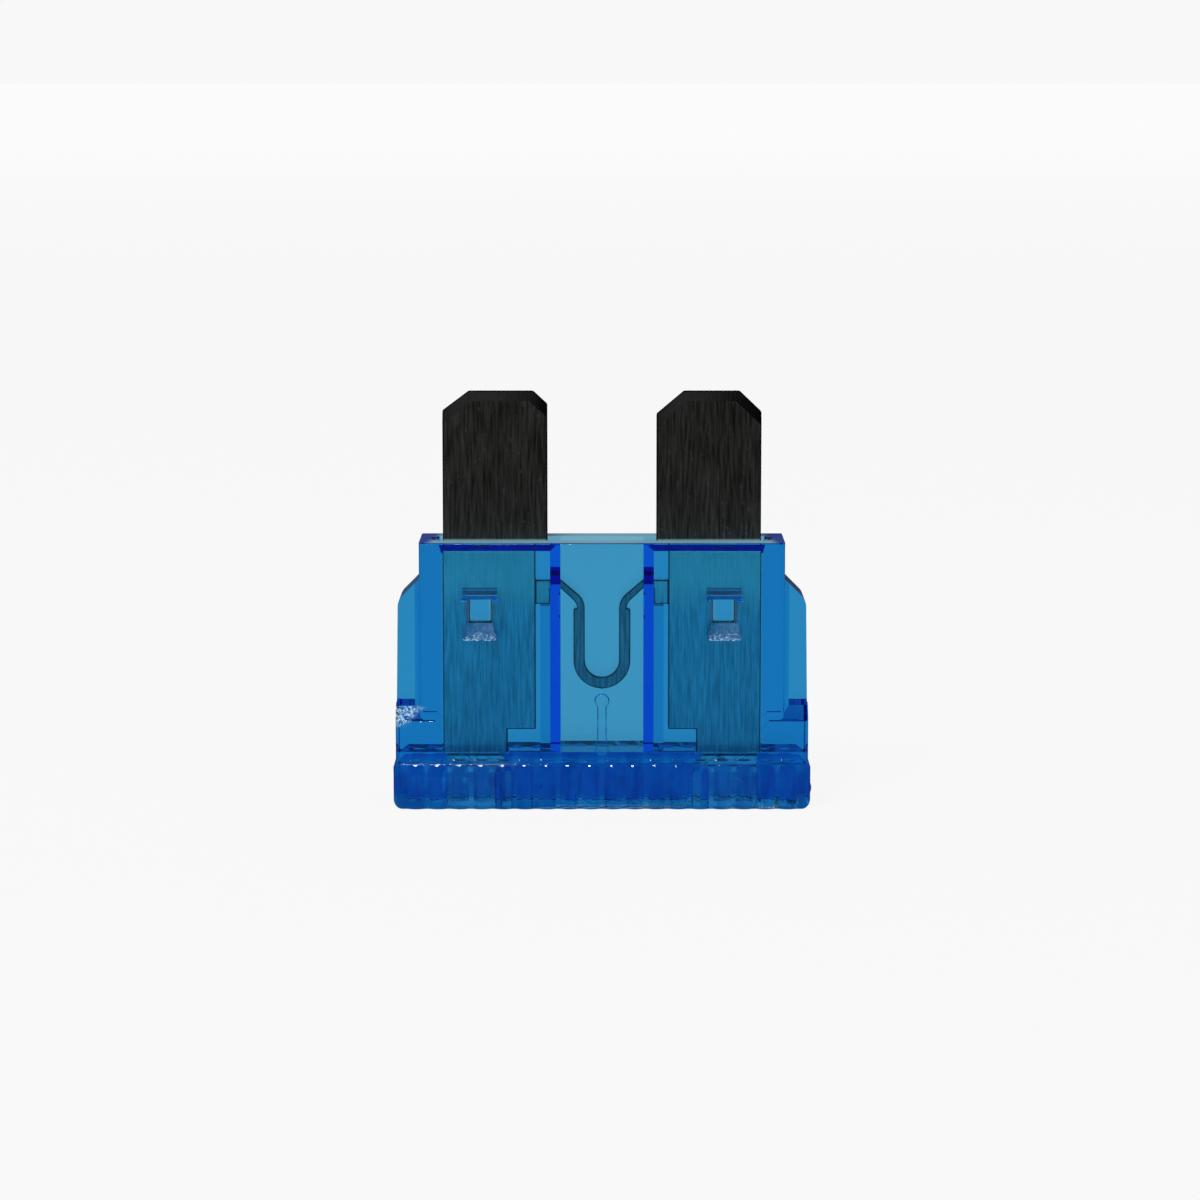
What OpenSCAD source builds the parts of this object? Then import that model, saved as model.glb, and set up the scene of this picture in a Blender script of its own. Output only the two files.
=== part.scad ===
// Automotive blade fuse of the regular size.
// Two pieces: a transparent housing, moulded in one, and a zinc element,
// stamped in one, that is pushed in at the mouth and staked in place.
// Origin: centre of the cap's outer face. +Z runs to the blade tips, X along
// the width and Y through the thickness. Millimetres.

/* [Cap] */
// Width of the cap, end to end
cap_w = 19.1; // [18.6:0.1:23]
// Thickness of the cap across its grip ribs
cap_t = 5.1; // [4.8:0.1:6.2]
// Height of the ribbed band
cap_h = 1.95; // [1.7:0.05:2.5]
// Radius of the cap's two lower corners
cap_corner_r = 0.45; // [0.1:0.05:0.8]
// Distance from one grip rib to the next
rib_pitch = 1.0; // [0.8:0.05:1.2]
// Width of a rib at its crest
rib_crest = 0.5; // [0.3:0.05:0.6]
// Depth of the grooves between the ribs
groove_d = 0.13; // [0.1:0.01:0.3]
// Least distance from the middle of the last groove to the cap's end
groove_end = 0.5; // [0.4:0.05:1]
// How far the gate's stub stands out of the cap's end
gate_proud = 0.17; // [0.05:0.01:0.25]
// Radius of the gate's stub
gate_r = 0.55; // [0.4:0.05:0.6]

/* [Housing] */
// Height of the housing, from the cap's outer face to the mouth
housing_h = 12.2; // [10.2:0.1:14.7]
// Thickness of the flat body
body_t = 3.9; // [3.6:0.1:4.4]
// Wall between a blade slot and the body's end
end_wall = 1.0; // [0.8:0.05:1.2]
// Radius of the body's upright corners
body_corner_r = 0.25; // [0.1:0.05:0.5]

/* [Wings and feet] */
// Thickness of the thin wings at the body's ends
wing_t = 2.8; // [2:0.1:3.2]
// Distance from the mouth down to the wings' upper edge
wing_drop = 1.7; // [0.9:0.05:2.3]
// Radius of the round below the slope at each wing's outer corner
wing_round_r = 0.7; // [0.1:0.05:0.8]
// Width of the slope between the body's end and the wing's face
wing_root_w = 0.22; // [0.05:0.01:0.25]
// Distance from the cap's end in to the wing's outer edge, at its top
wing_inset = 0.21; // [0.15:0.01:0.3]
// Height of a foot's broad face, above the cap's outer face
foot_h = 4.0; // [3:0.05:4.4]
// Height of the slope from a foot's broad face up to the wing
foot_slope_h = 0.65; // [0.4:0.05:1.2]
// How far a foot stands out of the body's face
foot_proud = 0.1; // [0.05:0.01:0.25]
// Distance from the cap's end in to the foot's end
foot_inset = 0.1; // [0.02:0.01:0.14]
// How far a foot reaches in over the body from the cap's end
foot_reach = 2.3; // [1.6:0.05:2.6]
// Size of the cut at a foot's inner upper corner, on the body's face
foot_corner_cut = 0.4; // [0.1:0.05:0.5]

/* [Stakes] */
// Width of the punched pocket at its waist
pocket_w = 1.25; // [1:0.05:1.4]
// Width of the pocket at its upper lip and lower flare
pocket_lip_w = 1.65; // [1.45:0.05:1.9]
// Depth of the pocket's floor below the body's face
pocket_d = 1.2; // [0.8:0.05:1.3]
// Depth of the pocket's upper lip below the body's face
pocket_lip_d = 0.45; // [0.3:0.05:0.7]

/* [Blades] */
// Width of a blade
blade_w = 4.8; // [4:0.1:5.7]
// Thickness of the zinc strip
blade_t = 0.65; // [0.5:0.01:0.8]
// Distance between the blades' centre lines
blade_pitch = 9.8; // [8.2:0.1:10.8]
// Length of blade that stands out of the mouth
blade_out = 6.8; // [5.5:0.1:8.5]
// How far a blade's inner edge steps back inside the housing
inner_step = 0.55; // [0.3:0.05:0.8]
// Distance from the mouth down to that step
step_drop = 0.45; // [0.2:0.05:0.6]
// Width of the tongue at a blade's lower end
tongue_w = 2.95; // [2.4:0.05:3.3]
// Height of the notch beside the tongue
notch_h = 1.65; // [1:0.05:2.2]
// Thickness left at a blade's tip
tip_t = 0.3; // [0.15:0.01:0.45]
// Height of the bevel that thins the tip
tip_bevel_h = 0.45; // [0.2:0.05:0.8]
// Corner cut of the left blade, outer side: width and height
left_outer_cut = [1.2, 0.9]; // [0.3:0.05:2]
// Corner cut of the left blade, inner side: width and height
left_inner_cut = [0.65, 0.6]; // [0.3:0.05:2]
// Corner cut of the right blade, inner side: width and height
right_inner_cut = [1.25, 1.05]; // [0.3:0.05:2]
// Corner cut of the right blade, outer side: width and height
right_outer_cut = [1.0, 0.95]; // [0.3:0.05:2]
// Width of the stake hole
hole_w = 0.95; // [0.7:0.05:1.1]
// Height of the stake hole
hole_h = 1.15; // [0.8:0.05:1.3]
// Distance from a blade's centre line out to its stake hole
hole_offset = 0.7; // [0.3:0.05:1]
// Distance from the mouth down to the stake hole's centre
hole_drop = 3.25; // [2.8:0.05:3.5]

/* [Fusible link] */
// Width of the link's legs
link_w = 0.52; // [0.3:0.02:0.7]
// Thickness of the link, thinned from the strip
link_t = 0.3; // [0.15:0.01:0.5]
// Distance between the centre lines of the two legs
leg_pitch = 2.1; // [1.6:0.1:2.5]
// Distance from the mouth down to the top of the legs
leg_drop = 3.22; // [2.9:0.01:3.5]
// Length of a leg's straight part
leg_l = 2.38; // [1.6:0.02:2.5]
// Width of the neck that joins a leg to its blade
neck_w = 0.34; // [0.2:0.02:0.45]
// Outer radius of the neck's bend
neck_r = 0.92; // [0.7:0.02:1]
// Sweep of the neck's bend, in degrees
neck_sweep = 50; // [40:1:65]
// Distance from the mouth down to the top and the foot of the link's root
root_drop = [1.85, 2.95]; // [1.6:0.05:3.3]
// Height of the neck where it meets the root
neck_end_w = 0.4; // [0.3:0.02:0.6]

/* [Cavity] */
// Play between the element and the housing, on each side
play = 0.05; // [0.02:0.01:0.1]
// Play between a blade's inner edge and the rib beside it
inner_play = 0.22; // [0.1:0.01:0.3]
// Thickness of the rib between a blade slot and the link's chamber
slot_rib_t = 0.45; // [0.3:0.05:0.7]
// Thickness of the link's chamber, front to back
chamber_t = 1.7; // [1.2:0.1:2]
// Room below the link in its chamber
link_room = 2.85; // [0.5:0.05:2.9]
// Radius of the sweep that opens out each end of the mouth
mouth_sweep_r = 0.6; // [0.3:0.05:0.7]
// Height of the seats that the tongues stand on
seat_z = 1.8; // [1.2:0.05:2]
// Width of the ledge that carries a tongue, on each side of its test opening
seat_w = 0.175; // [0.1:0.025:0.6]
// Thickness of the test openings, front to back
test_t = 1.4; // [1:0.1:2]

/* [Keyhole rib] */
// Height of the slim rib moulded on the body's front face
key_h = 2.5; // [1.5:0.05:3]
// Width of the rib's stem
key_stem_w = 0.34; // [0.2:0.02:0.5]
// Radius of the rib's round head
key_head_r = 0.3; // [0.2:0.02:0.45]
// Width of the rib's flared foot
key_foot_w = 0.6; // [0.4:0.05:0.9]
// Height of the rib's flared foot
key_foot_h = 0.8; // [0.4:0.05:1.2]
// How far the rib stands out of the face
key_proud = 0.12; // [0.04:0.01:0.15]

/* [Hidden] */
$fn = 48;
eps = 0.01;            // overlap of pieces that are joined, reach of cuts past a face
far = 40;              // longer than the part in any direction
wall_lap = 0.5;        // how far the wings reach into the body that they stand on

cap_half = cap_w / 2;
ribs_a_side = floor((cap_half - groove_end) / rib_pitch);  // on each side of the middle
mouth_z = housing_h;
blade_mid_x = blade_pitch / 2;
blade_inner_x = blade_mid_x - blade_w / 2;
blade_outer_x = blade_mid_x + blade_w / 2;
strip_inner_x = blade_inner_x + inner_step;
tongue_inner_x = blade_outer_x - tongue_w;
test_inner_x = tongue_inner_x + seat_w;
test_outer_x = blade_outer_x - seat_w;
notch_z = seat_z + notch_h;
step_z = mouth_z - step_drop;
tip_z = mouth_z + blade_out;

slot_t = blade_t + 2 * play;
slot_outer_x = blade_outer_x + play;
slot_inner_x = strip_inner_x - inner_play;
chamber_half = slot_inner_x - slot_rib_t;          // at the blade slots' walls
chamber_flank = (chamber_t - slot_t) / 2;          // run of its 45 degree flanks
root_top_z = mouth_z - root_drop[0];
root_foot_z = mouth_z - root_drop[1];

body_half = slot_outer_x + end_wall;
shoulder_h = (cap_t - body_t) / 2;
wing_half = cap_half - wing_inset;
wing_round = min(wing_round_r, (wing_half - body_half) / (1 - cos(45)));
wing_top_z = mouth_z - wing_drop;
foot_half = cap_half - foot_inset;
foot_inner_x = cap_half - foot_reach;
foot_t = body_t + 2 * foot_proud;
foot_top_z = foot_h + foot_slope_h;
foot_join_z = foot_h + foot_slope_h * (foot_t - body_t) / (foot_t - wing_t);

hole_x = blade_mid_x + hole_offset;
hole_z = mouth_z - hole_drop;

leg_top_z = mouth_z - leg_drop;
arc_z = leg_top_z - leg_l;
leg_inner_x = leg_pitch / 2 - link_w / 2;
leg_outer_x = leg_pitch / 2 + link_w / 2;
chamber_floor_z = arc_z - leg_outer_x - link_room;
neck_x = leg_inner_x + neck_r;

// ---- shared shapes ----

// The children and their mirror image across the middle plane X = 0.
module left_and_right() {
    children();
    mirror([1, 0, 0]) children();
}

// The children and their mirror image across the middle plane Y = 0.
module front_and_back() {
    children();
    mirror([0, 1, 0]) children();
}

// A flat outline drawn in X and Z, given a thickness along Y.
module plate(thickness) {
    rotate([90, 0, 0]) linear_extrude(thickness, center = true) children();
}

// A flat outline drawn in Y and Z, run along X from x0 to x1.
module bar(x0, x1) {
    translate([x0, 0, 0]) rotate([90, 0, 90]) linear_extrude(x1 - x0) children();
}

// A box given by its X range, thickness about Y = 0, and Z range.
module slab(x0, x1, thickness, z0, z1) {
    translate([x0, -thickness / 2, z0]) cube([x1 - x0, thickness, z1 - z0]);
}

// ---- housing, outside ----

// The cap seen from the front: a bar with two round lower corners, and a 45 degree
// shoulder at each end above the band.
module cap_outline() {
    inner = cap_half - cap_corner_r;
    polygon([
        [-cap_half, cap_corner_r], [cap_half, cap_corner_r], [cap_half, cap_h],
        [cap_half - shoulder_h, cap_h + shoulder_h], [shoulder_h - cap_half, cap_h + shoulder_h],
        [-cap_half, cap_h]
    ]);
    translate([-inner, 0]) square([2 * inner, cap_corner_r + eps]);
    for (side = [-1, 1]) translate([side * inner, cap_corner_r]) circle(cap_corner_r);
}

// The cap seen from the end: an upright band and a 45 degree shoulder above it.
module cap_profile() {
    polygon([
        [-cap_t / 2, 0], [cap_t / 2, 0], [cap_t / 2, cap_h],
        [body_t / 2, cap_h + shoulder_h], [-body_t / 2, cap_h + shoulder_h],
        [-cap_t / 2, cap_h]
    ]);
}

// One upright groove in the cap's front face, wider outside than at its floor.
module grip_groove() {
    open_w = rib_pitch - rib_crest;
    floor_w = open_w / 2;
    translate([0, -cap_t / 2, -eps]) linear_extrude(cap_h + eps) polygon([
        [-open_w / 2, -eps], [open_w / 2, -eps], [open_w / 2, 0],
        [floor_w / 2, groove_d], [-floor_w / 2, groove_d], [-open_w / 2, 0]
    ]);
}

module cap() {
    difference() {
        intersection() {
            plate(cap_t) cap_outline();
            bar(-cap_half, cap_half) cap_profile();
        }
        front_and_back() for (gap = [-ribs_a_side : ribs_a_side])
            translate([gap * rib_pitch, 0, 0]) grip_groove();
    }
    translate([cap_half + gate_proud - gate_r, 0, gate_r + eps]) sphere(gate_r);
}

// The body: one flat block with round upright corners.
module body() {
    inner = body_half - body_corner_r;
    translate([0, 0, cap_h]) linear_extrude(mouth_z - cap_h) {
        square([2 * inner, body_t], center = true);
        square([2 * body_half, body_t - 2 * body_corner_r], center = true);
        for (x = [-inner, inner], y = [-1, 1])
            translate([x, y * (body_t / 2 - body_corner_r)]) circle(body_corner_r);
    }
}

// The wing seen from the front: a thin plate with its outer corner sloped off at
// 45 degrees and rounded into the upright edge.
module wing_outline() {
    slope_end_z = wing_top_z - (wing_half - body_half);
    round_z = slope_end_z - wing_round * tan(22.5);
    polygon(concat(
        [[body_half - wall_lap, cap_h], [foot_half, cap_h]],
        [for (turn = [0 : 9 : 45])
            [wing_half - wing_round * (1 - cos(turn)), round_z + wing_round * sin(turn)]],
        [[body_half, wing_top_z], [body_half - wall_lap, wing_top_z]]
    ));
}

// The slopes from the body's ends down to the wing's two faces.
module wing_root() {
    face = body_t / 2 - body_corner_r;
    intersection() {
        translate([0, 0, cap_h]) linear_extrude(far) polygon([
            [body_half - wall_lap, -face], [body_half, -face],
            [body_half + wing_root_w, -wing_t / 2], [body_half + wing_root_w, wing_t / 2],
            [body_half, face], [body_half - wall_lap, face]
        ]);
        plate(far) wing_outline();
    }
}

// The foot seen from the end: a little proud of the body, and sloped up to the wing.
module foot_profile() {
    polygon([
        [-foot_t / 2, cap_h], [foot_t / 2, cap_h], [foot_t / 2, foot_h],
        [wing_t / 2, foot_top_z], [-wing_t / 2, foot_top_z], [-foot_t / 2, foot_h]
    ]);
}

// The foot seen from the front: its inner corner is cut off where its slope meets
// the body's face.
module foot_outline() {
    polygon([
        [foot_inner_x, cap_h], [foot_half, cap_h], [foot_half, foot_top_z],
        [foot_inner_x + foot_corner_cut, foot_top_z], [foot_inner_x + foot_corner_cut, foot_join_z],
        [foot_inner_x, foot_join_z - foot_corner_cut]
    ]);
}

module wing_and_foot() {
    plate(wing_t) wing_outline();
    wing_root();
    intersection() {
        bar(0, far) foot_profile();
        plate(far) foot_outline();
    }
}

// The slim keyhole-shaped rib on the body's front face, standing on the shoulder.
module keyhole_rib() {
    foot_z = cap_h + shoulder_h - key_proud;
    translate([0, (eps - key_proud - body_t) / 2, 0]) plate(key_proud + eps) {
        translate([-key_stem_w / 2, foot_z]) square([key_stem_w, key_h]);
        translate([0, foot_z + key_h]) circle(key_head_r);
        polygon([
            [-key_foot_w / 2, foot_z], [key_foot_w / 2, foot_z],
            [key_stem_w / 2, foot_z + key_foot_h], [-key_stem_w / 2, foot_z + key_foot_h]
        ]);
    }
}

// ---- housing, inside ----

// One blade's slot, from the test opening in the cap to the mouth. Beside the tongue it
// goes down as far as the link's chamber.
module blade_slot() {
    slab(slot_inner_x, slot_outer_x, slot_t, min(chamber_floor_z, notch_z - play), mouth_z + eps);
    slab(tongue_inner_x - play, slot_outer_x, slot_t, seat_z, notch_z);
    slab(chamber_half - eps, slot_inner_x + eps, slot_t, root_foot_z - play, mouth_z + eps);
    slab(test_inner_x, test_outer_x, test_t, -eps, seat_z);
    slab(test_inner_x, test_outer_x, slot_t, seat_z / 2, notch_z);
}

// The chamber of the link, open at the mouth. Its upright edges are sloped at 45 degrees.
module link_chamber() {
    front_half = chamber_half - chamber_flank;
    translate([0, 0, chamber_floor_z]) linear_extrude(mouth_z + eps - chamber_floor_z) polygon([
        [-front_half, -chamber_t / 2], [front_half, -chamber_t / 2],
        [chamber_half, -slot_t / 2], [chamber_half, slot_t / 2],
        [front_half, chamber_t / 2], [-front_half, chamber_t / 2],
        [-chamber_half, slot_t / 2], [-chamber_half, -slot_t / 2]
    ]);
}

// The mouth seen from the front: as long as the two slots, and swept out at each end.
module mouth_outline() {
    square([2 * slot_outer_x, 2 * far], center = true);
    left_and_right() translate([slot_outer_x - eps, mouth_z - mouth_sweep_r]) difference() {
        square([mouth_sweep_r, mouth_sweep_r + eps]);
        translate([mouth_sweep_r, 0]) circle(mouth_sweep_r);
    }
}

// The 45 degree slopes that lead the element in along the mouth.
module mouth_funnel() {
    half = slot_t / 2;
    intersection() {
        bar(-body_half, body_half) polygon([
            [-half, mouth_z - mouth_sweep_r - eps], [half, mouth_z - mouth_sweep_r - eps],
            [half, mouth_z - chamber_flank], [half + chamber_flank + eps, mouth_z + eps],
            [-half - chamber_flank - eps, mouth_z + eps], [-half, mouth_z - chamber_flank]
        ]);
        plate(far) mouth_outline();
    }
}

// The pocket that the staking punch leaves in the body's front face: a lip above,
// a deep waist at the stake hole, and a ramp that flares out below.
module stake_pocket() {
    above = hole_h / 2;
    lip_z = above + 0.52;
    ramp_z = -above - 0.67;
    waist = pocket_w / 2;
    lip = pocket_lip_w / 2;
    face = -body_t / 2;
    translate([0, 0, hole_z]) intersection() {
        translate([hole_x, 0, 0]) plate(far) polygon([
            [-lip, lip_z], [lip, lip_z], [lip, above], [waist, above],
            [waist, -above], [lip, ramp_z], [-lip, ramp_z], [-waist, -above],
            [-waist, above], [-lip, above]
        ]);
        bar(0, far) polygon([
            [face - eps, lip_z], [face + pocket_lip_d, lip_z], [face + pocket_lip_d, above],
            [face + pocket_d, above], [face + pocket_d, -above], [face, ramp_z], [face - eps, ramp_z]
        ]);
    }
}

// The plastic that the punch has pushed through the blade's hole.
module stake_plug() {
    slab(hole_x + play - hole_w / 2, hole_x + hole_w / 2 - play, slot_t + 2 * eps,
         hole_z + play - hole_h / 2, hole_z + hole_h / 2 - play);
}

// ---- element ----

// One blade seen from the front, for the right-hand side.
module blade_outline(inner_cut, outer_cut) {
    polygon([
        [tongue_inner_x, seat_z], [blade_outer_x, seat_z],
        [blade_outer_x, tip_z - outer_cut[1]], [blade_outer_x - outer_cut[0], tip_z],
        [blade_inner_x + inner_cut[0], tip_z], [blade_inner_x, tip_z - inner_cut[1]],
        [blade_inner_x, step_z], [strip_inner_x, step_z],
        [strip_inner_x, notch_z], [tongue_inner_x, notch_z]
    ]);
}

// A long tapered bar that thins the strip toward one straight edge of the tip.
// The edge runs through the point at the given angle from the X axis.
module tip_taper(point, angle) {
    translate([point[0], 0, point[1]]) rotate([0, -angle, 0]) bar(-far, far) polygon([
        [-tip_t / 2, 0], [-blade_t / 2, -tip_bevel_h], [-blade_t / 2, -far],
        [blade_t / 2, -far], [blade_t / 2, -tip_bevel_h], [tip_t / 2, 0]
    ]);
}

module blade(inner_cut, outer_cut) {
    difference() {
        intersection() {
            plate(blade_t) blade_outline(inner_cut, outer_cut);
            tip_taper([0, tip_z], 0);
            tip_taper([blade_inner_x, tip_z - inner_cut[1]], atan2(inner_cut[1], inner_cut[0]));
            tip_taper([blade_outer_x, tip_z - outer_cut[1]], -atan2(outer_cut[1], outer_cut[0]));
        }
        slab(hole_x - hole_w / 2, hole_x + hole_w / 2, far, hole_z - hole_h / 2, hole_z + hole_h / 2);
    }
}

// Half of the link, for the right-hand side: leg, bent neck and broad root. The neck
// runs straight from its bend to the edge of the chamber's wall, and level from there.
module link_half_outline() {
    bend_end = 180 - neck_sweep;
    lap_end = bend_end - 2;
    neck_inner_r = neck_r - neck_w;
    knee_x = chamber_half - chamber_flank;
    translate([leg_inner_x, arc_z]) square([link_w, leg_l]);
    translate([neck_x, leg_top_z]) intersection() {
        difference() {
            circle(neck_r);
            circle(neck_inner_r);
        }
        polygon([[0, -eps], [-far, -eps], [-far, 0], [far * cos(lap_end), far * sin(lap_end)]]);
    }
    polygon([
        [neck_x + neck_inner_r * cos(bend_end), leg_top_z + neck_inner_r * sin(bend_end)],
        [knee_x, root_top_z - neck_end_w], [chamber_half, root_top_z - neck_end_w],
        [chamber_half, root_foot_z], [strip_inner_x + eps, root_foot_z],
        [strip_inner_x + eps, root_top_z], [knee_x, root_top_z],
        [neck_x + neck_r * cos(bend_end), leg_top_z + neck_r * sin(bend_end)]
    ]);
}

// The U-shaped link between the two blades.
module link() {
    plate(link_t) {
        left_and_right() link_half_outline();
        translate([0, arc_z]) difference() {
            circle(leg_outer_x);
            circle(leg_inner_x);
            translate([-far, eps]) square([2 * far, far]);
        }
    }
}

// ---- the two pieces ----

module housing() {
    color([0.10, 0.48, 0.80, 0.60]) {
        difference() {
            union() {
                cap();
                body();
                left_and_right() wing_and_foot();
                keyhole_rib();
            }
            left_and_right() blade_slot();
            link_chamber();
            mouth_funnel();
            left_and_right() stake_pocket();
        }
        left_and_right() stake_plug();
    }
}

module fuse_element() {
    color([0.30, 0.31, 0.31]) {
        blade(right_inner_cut, right_outer_cut);
        mirror([1, 0, 0]) blade(left_inner_cut, left_outer_cut);
        link();
    }
}

housing();
fuse_element();
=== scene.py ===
import math

import bmesh
import bpy
from mathutils import Matrix, Vector


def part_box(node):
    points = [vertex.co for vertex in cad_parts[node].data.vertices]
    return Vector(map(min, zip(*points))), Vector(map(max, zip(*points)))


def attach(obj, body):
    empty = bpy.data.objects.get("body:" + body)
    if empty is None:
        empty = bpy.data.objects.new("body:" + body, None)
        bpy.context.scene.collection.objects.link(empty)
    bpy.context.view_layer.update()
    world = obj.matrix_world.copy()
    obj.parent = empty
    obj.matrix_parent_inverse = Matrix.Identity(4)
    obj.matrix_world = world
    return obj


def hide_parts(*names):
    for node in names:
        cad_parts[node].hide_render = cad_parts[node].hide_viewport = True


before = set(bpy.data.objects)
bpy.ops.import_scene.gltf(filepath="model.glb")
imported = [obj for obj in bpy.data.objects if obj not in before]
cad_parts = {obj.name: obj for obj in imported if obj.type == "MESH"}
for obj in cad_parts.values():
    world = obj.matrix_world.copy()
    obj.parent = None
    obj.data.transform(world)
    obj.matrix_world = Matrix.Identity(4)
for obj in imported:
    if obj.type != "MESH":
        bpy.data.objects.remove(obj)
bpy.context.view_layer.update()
scene = bpy.context.scene

# ---- housing ----
# One injection moulding of clear blue polycarbonate: a ribbed grip cap, a flat body that is
# hollow behind its window, thin wings and sloped feet. The shapes are worked out in
# millimetres, joined and cut as solids, and brought to real size at the end.

MM = 0.001
housing_low, housing_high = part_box("housing")
cap_half = round(-housing_low.x / MM, 3)
cap_y = round(housing_high.y / MM, 3)
mouth_z = round(housing_high.z / MM, 3)
cap_h = 1.95
groove_d = 0.13
body_y = 1.95
wing_y = 1.4
foot_y = 2.0
body_half = 8.35
root_z = 1.5  # the height inside the cap at which the body, the wings and the feet begin
shoulder_top_z = cap_h + cap_y - body_y


def rounded(corners, radius, steps=6):
    """An outline with its corners turned into arcs, of one radius or one for each corner."""
    radii = radius if isinstance(radius, list) else [radius] * len(corners)
    outline = []
    for index, corner in enumerate(corners):
        here = Vector(corner)
        if not radii[index]:
            outline.append(tuple(here))
            continue
        before = (Vector(corners[index - 1]) - here).normalized()
        after = (Vector(corners[(index + 1) % len(corners)]) - here).normalized()
        half = before.angle(after) / 2
        centre = here + (before + after).normalized() * radii[index] / math.sin(half)
        spoke = here + before * radii[index] / math.tan(half) - centre
        last = here + after * radii[index] / math.tan(half) - centre
        turn = math.copysign(math.pi - 2 * half, spoke.cross(last))
        for step in range(steps + 1):
            outline.append(tuple(centre + Matrix.Rotation(turn * step / steps, 2) @ spoke))
    return outline


def rectangle(half_x, half_y):
    """The outline of a rectangle about the middle."""
    return [(-half_x, -half_y), (half_x, -half_y), (half_x, half_y), (-half_x, half_y)]


def solid_from(sheet, name):
    """An object made from the faces of a bmesh."""
    bmesh.ops.recalc_face_normals(sheet, faces=sheet.faces)
    mesh = bpy.data.meshes.new(name)
    sheet.to_mesh(mesh)
    sheet.free()
    solid = bpy.data.objects.new(name, mesh)
    scene.collection.objects.link(solid)
    return solid


def prism(name, outline, axis, low, high):
    """The outline run along an axis. Its pairs are (y, z) along x, (x, z) along y, (x, y) along z."""
    order = {"x": (2, 0, 1), "y": (0, 2, 1), "z": (0, 1, 2)}[axis]
    sheet = bmesh.new()
    rings = []
    for run in (low, high):
        points = [(a, b, run) for a, b in outline]
        rings.append([sheet.verts.new([point[k] for k in order]) for point in points])
    for index in range(len(outline)):
        after = (index + 1) % len(outline)
        sheet.faces.new([rings[0][index], rings[0][after], rings[1][after], rings[1][index]])
    for ring in rings:
        sheet.faces.new(ring)
    return solid_from(sheet, name)


def block(name, x0, x1, thickness, z0, z1):
    """A box given by its x range, its thickness about the middle plane and its z range."""
    half = thickness / 2
    return prism(name, [(x0, -half), (x1, -half), (x1, half), (x0, half)], "z", z0, z1)


def settle(solid):
    """Turns a solid and its modifiers into a plain mesh."""
    graph = bpy.context.evaluated_depsgraph_get()
    made = bpy.data.meshes.new_from_object(solid.evaluated_get(graph))
    rough = solid.data
    solid.modifiers.clear()
    solid.data = made
    bpy.data.meshes.remove(rough)
    return solid


def combine(solid, kind, *tools):
    """Joins the tools to the solid, cuts them out, or keeps what it shares with them."""
    for tool in tools:
        change = solid.modifiers.new(tool.name, "BOOLEAN")
        change.operation = kind
        change.solver = "MANIFOLD"
        change.object = tool
        settle(solid)
        rough = tool.data
        bpy.data.objects.remove(tool)
        bpy.data.meshes.remove(rough)
    return solid


def mirrored(solid, axis, keep=True):
    """A copy of a solid on the other side of the middle plane across x or y."""
    sheet = bmesh.new()
    sheet.from_mesh(solid.data)
    if not keep:
        bpy.data.objects.remove(solid)
    flip = Matrix.Scale(-1, 4, (1, 0, 0) if axis == "x" else (0, 1, 0))
    bmesh.ops.transform(sheet, matrix=flip, verts=sheet.verts)
    return solid_from(sheet, "mirrored")


# The cap: a band with a 45 degree shoulder, and soft upright grip ribs on both broad faces.
band_y = cap_y - groove_d
band_top_z = cap_h + groove_d
cap = prism(
    "cap",
    rounded(
        [
            (-band_y, 0), (band_y, 0), (band_y, band_top_z), (body_y, shoulder_top_z),
            (-body_y, shoulder_top_z), (-band_y, band_top_z),
        ],
        [0.05, 0.05, 0.08, 0, 0, 0.08],
    ),
    "x", -cap_half, cap_half,
)
shoulder_run = shoulder_top_z - cap_h
combine(
    cap, "INTERSECT",
    prism(
        "cap_front",
        rounded(
            [
                (-cap_half, 0), (cap_half, 0), (cap_half, cap_h),
                (cap_half - shoulder_run, shoulder_top_z), (shoulder_run - cap_half, shoulder_top_z),
                (-cap_half, cap_h),
            ],
            [0.45, 0.45, 0.15, 0, 0, 0.15], 8,
        ),
        "y", -cap_y, cap_y,
    ),
    prism("cap_plan", rounded(rectangle(cap_half, band_y), 0.3), "z", -1, mouth_z),
)

rib_count = 18
rib_pitch = 1.0
rib_half = 0.47
crest_r = 0.9
foot_r = 0.05


def rib_face(z):
    """How far out the grooves and the rib crests stand at a height, as two distances."""
    lift = max(0.0, foot_r - z)
    tuck = foot_r - math.sqrt(max(0.0, foot_r ** 2 - lift ** 2))
    groove = min(band_y, cap_h + cap_y - z)
    arc_low = cap_h - crest_r * math.tan(math.pi / 8)
    if z <= arc_low:
        return groove - tuck, cap_y - tuck
    rise = min(z - arc_low, crest_r * math.sin(math.pi / 4))
    return groove, cap_y - crest_r + math.sqrt(crest_r ** 2 - rise ** 2)


def grip_rib():
    """One rib: a soft wave across, that rises from the groove and rounds over into the shoulder."""
    sheet = bmesh.new()
    levels = [foot_r * (1 - math.cos(math.pi / 8 * step)) for step in range(5)]
    levels += [0.6, 1.1] + [1.56 + 0.72 * step / 13 for step in range(14)]
    rings = []
    for z in levels:
        groove, crest = rib_face(z)
        ring = [(-rib_half, 0.12 - groove), (rib_half, 0.12 - groove)]
        for step in range(21):
            across = 1 - step / 10
            wave = 1 - across ** 2 / 0.7 if abs(across) < 0.7 else (1 - abs(across)) ** 2 / 0.3
            ring.append((rib_half * across, 0.01 - groove - wave * (crest - groove + 0.01)))
        rings.append([sheet.verts.new((x, y, z)) for x, y in ring])
    for lower, upper in zip(rings, rings[1:]):
        for index in range(len(lower)):
            after = (index + 1) % len(lower)
            sheet.faces.new([lower[index], lower[after], upper[after], upper[index]])
    sheet.faces.new(rings[0])
    sheet.faces.new(rings[-1])
    return solid_from(sheet, "grip_ribs")


rib = grip_rib()


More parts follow.
